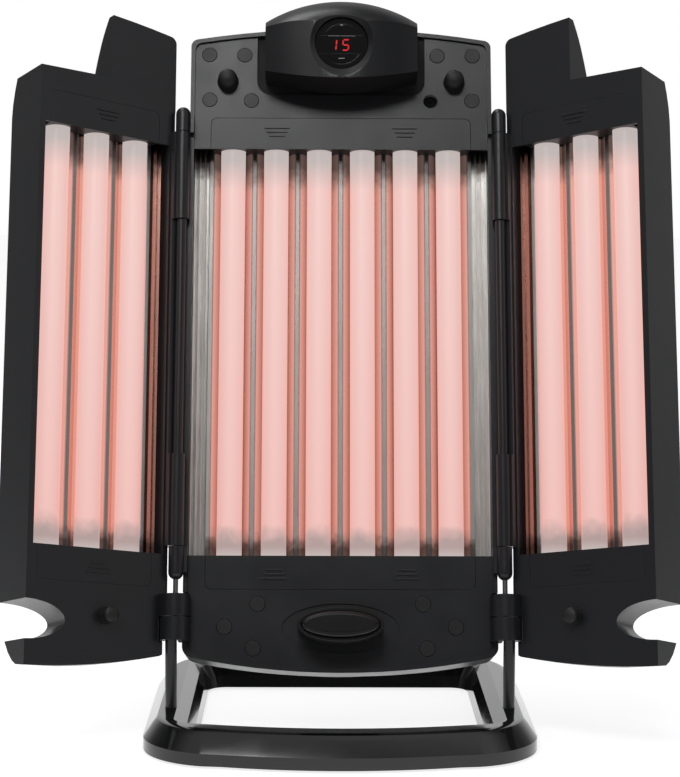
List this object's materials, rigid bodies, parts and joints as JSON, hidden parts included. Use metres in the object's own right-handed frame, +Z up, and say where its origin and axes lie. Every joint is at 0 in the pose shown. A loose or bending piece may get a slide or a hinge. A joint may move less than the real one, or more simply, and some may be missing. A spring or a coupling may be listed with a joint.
{
  "type": "skin rejuvenation light box",
  "caption": "Folding table-top light box: an upright panel of vertical tubes with hinged side wings, a round timer face and a push button, tilting on a ring stand.",
  "frame": {"origin": "on the table under the middle of the base ring", "axes": "+Z up, the lit front faces -Y, +X to the right as seen from the front"},
  "size_m": [0.4206, 0.253, 0.4624],
  "materials": {
    "tube_glass": "frosted, lit pink",
    "cap_metal": "satin",
    "holder_plastic": "satin",
    "reflector_metal": "polished",
    "gloss_black": "high gloss",
    "rubber_black": "matt",
    "post_metal": "satin",
    "steel": "satin",
    "face_black": "high gloss",
    "display_red": "lit red digits",
    "board_green": "satin",
    "ballast_metal": "satin",
    "case_black": "satin charcoal"
  },
  "bodies": {
    "base": {"base_ring": "gloss_black", "base_cover": "case_black", "base_feet": "rubber_black", "base_screws": "steel", "post_left": "post_metal", "post_right": "post_metal"},
    "panel": {"center_frame": "case_black", "center_rear_cover": "case_black", "center_reflector": "reflector_metal", "center_lamp_1": "tube_glass", "center_lamp_2": "tube_glass", "center_lamp_3": "tube_glass", "center_lamp_4": "tube_glass", "center_lamp_5": "tube_glass", "center_lamp_6": "tube_glass", "center_lamp_caps": "cap_metal", "center_lamp_holders": "holder_plastic", "center_top_cover": "case_black", "center_bottom_cover": "case_black", "ballasts": "ballast_metal", "mains_inlet": "case_black", "center_screws": "steel", "screw_plugs": "case_black", "front_screw": "steel", "rubber_pegs": "rubber_black", "control_head": "case_black", "display_lens": "face_black", "led_display": "display_red", "timer_board": "board_green", "latch_collar": "case_black", "latch_spring": "steel", "hinge_pins": "steel", "tilt_pins": "steel"},
    "up_key": {"up_key": "face_black"},
    "down_key": {"down_key": "face_black"},
    "latch_button": {"latch_button": "case_black"},
    "left_wing": {"left_frame": "case_black", "left_rear_cover": "case_black", "left_reflector": "reflector_metal", "left_lamp_1": "tube_glass", "left_lamp_2": "tube_glass", "left_lamp_3": "tube_glass", "left_lamp_caps": "cap_metal", "left_lamp_holders": "holder_plastic", "left_top_cover": "case_black", "left_bottom_cover": "case_black", "left_bumper": "rubber_black", "left_screws": "steel"},
    "right_wing": {"right_frame": "case_black", "right_rear_cover": "case_black", "right_reflector": "reflector_metal", "right_lamp_1": "tube_glass", "right_lamp_2": "tube_glass", "right_lamp_3": "tube_glass", "right_lamp_caps": "cap_metal", "right_lamp_holders": "holder_plastic", "right_top_cover": "case_black", "right_bottom_cover": "case_black", "right_bumper": "rubber_black", "right_screws": "steel"}
  },
  "joints": [
    {"name": "tilt", "type": "hinge", "parent": "base", "child": "panel", "pos_m": [0, -0.0495, 0.0705], "axis": [1, 0, 0], "range_deg": [-8, 17]},
    {"name": "left_wing_hinge", "type": "hinge", "parent": "panel", "child": "left_wing", "pos_m": [-0.1022, -0.0495, 0.0705], "axis": [0, 0.2924, 0.9563], "range_deg": [-19, 146]},
    {"name": "right_wing_hinge", "type": "hinge", "parent": "panel", "child": "right_wing", "pos_m": [0.1022, -0.0495, 0.0705], "axis": [0, -0.2924, -0.9563], "range_deg": [-19, 146]},
    {"name": "up_key_press", "type": "slide", "parent": "panel", "child": "up_key", "axis": [0, 0.9816, -0.1908], "range_m": [0, 0.0008], "stiffness_N_per_m": 1500},
    {"name": "down_key_press", "type": "slide", "parent": "panel", "child": "down_key", "axis": [0, 0.9816, -0.1908], "range_m": [0, 0.0008], "stiffness_N_per_m": 1500},
    {"name": "latch_press", "type": "slide", "parent": "panel", "child": "latch_button", "axis": [0, 0.9563, -0.2924], "range_m": [0, 0.003], "stiffness_N_per_m": 1200, "deforming": ["latch_spring"]}
  ]
}
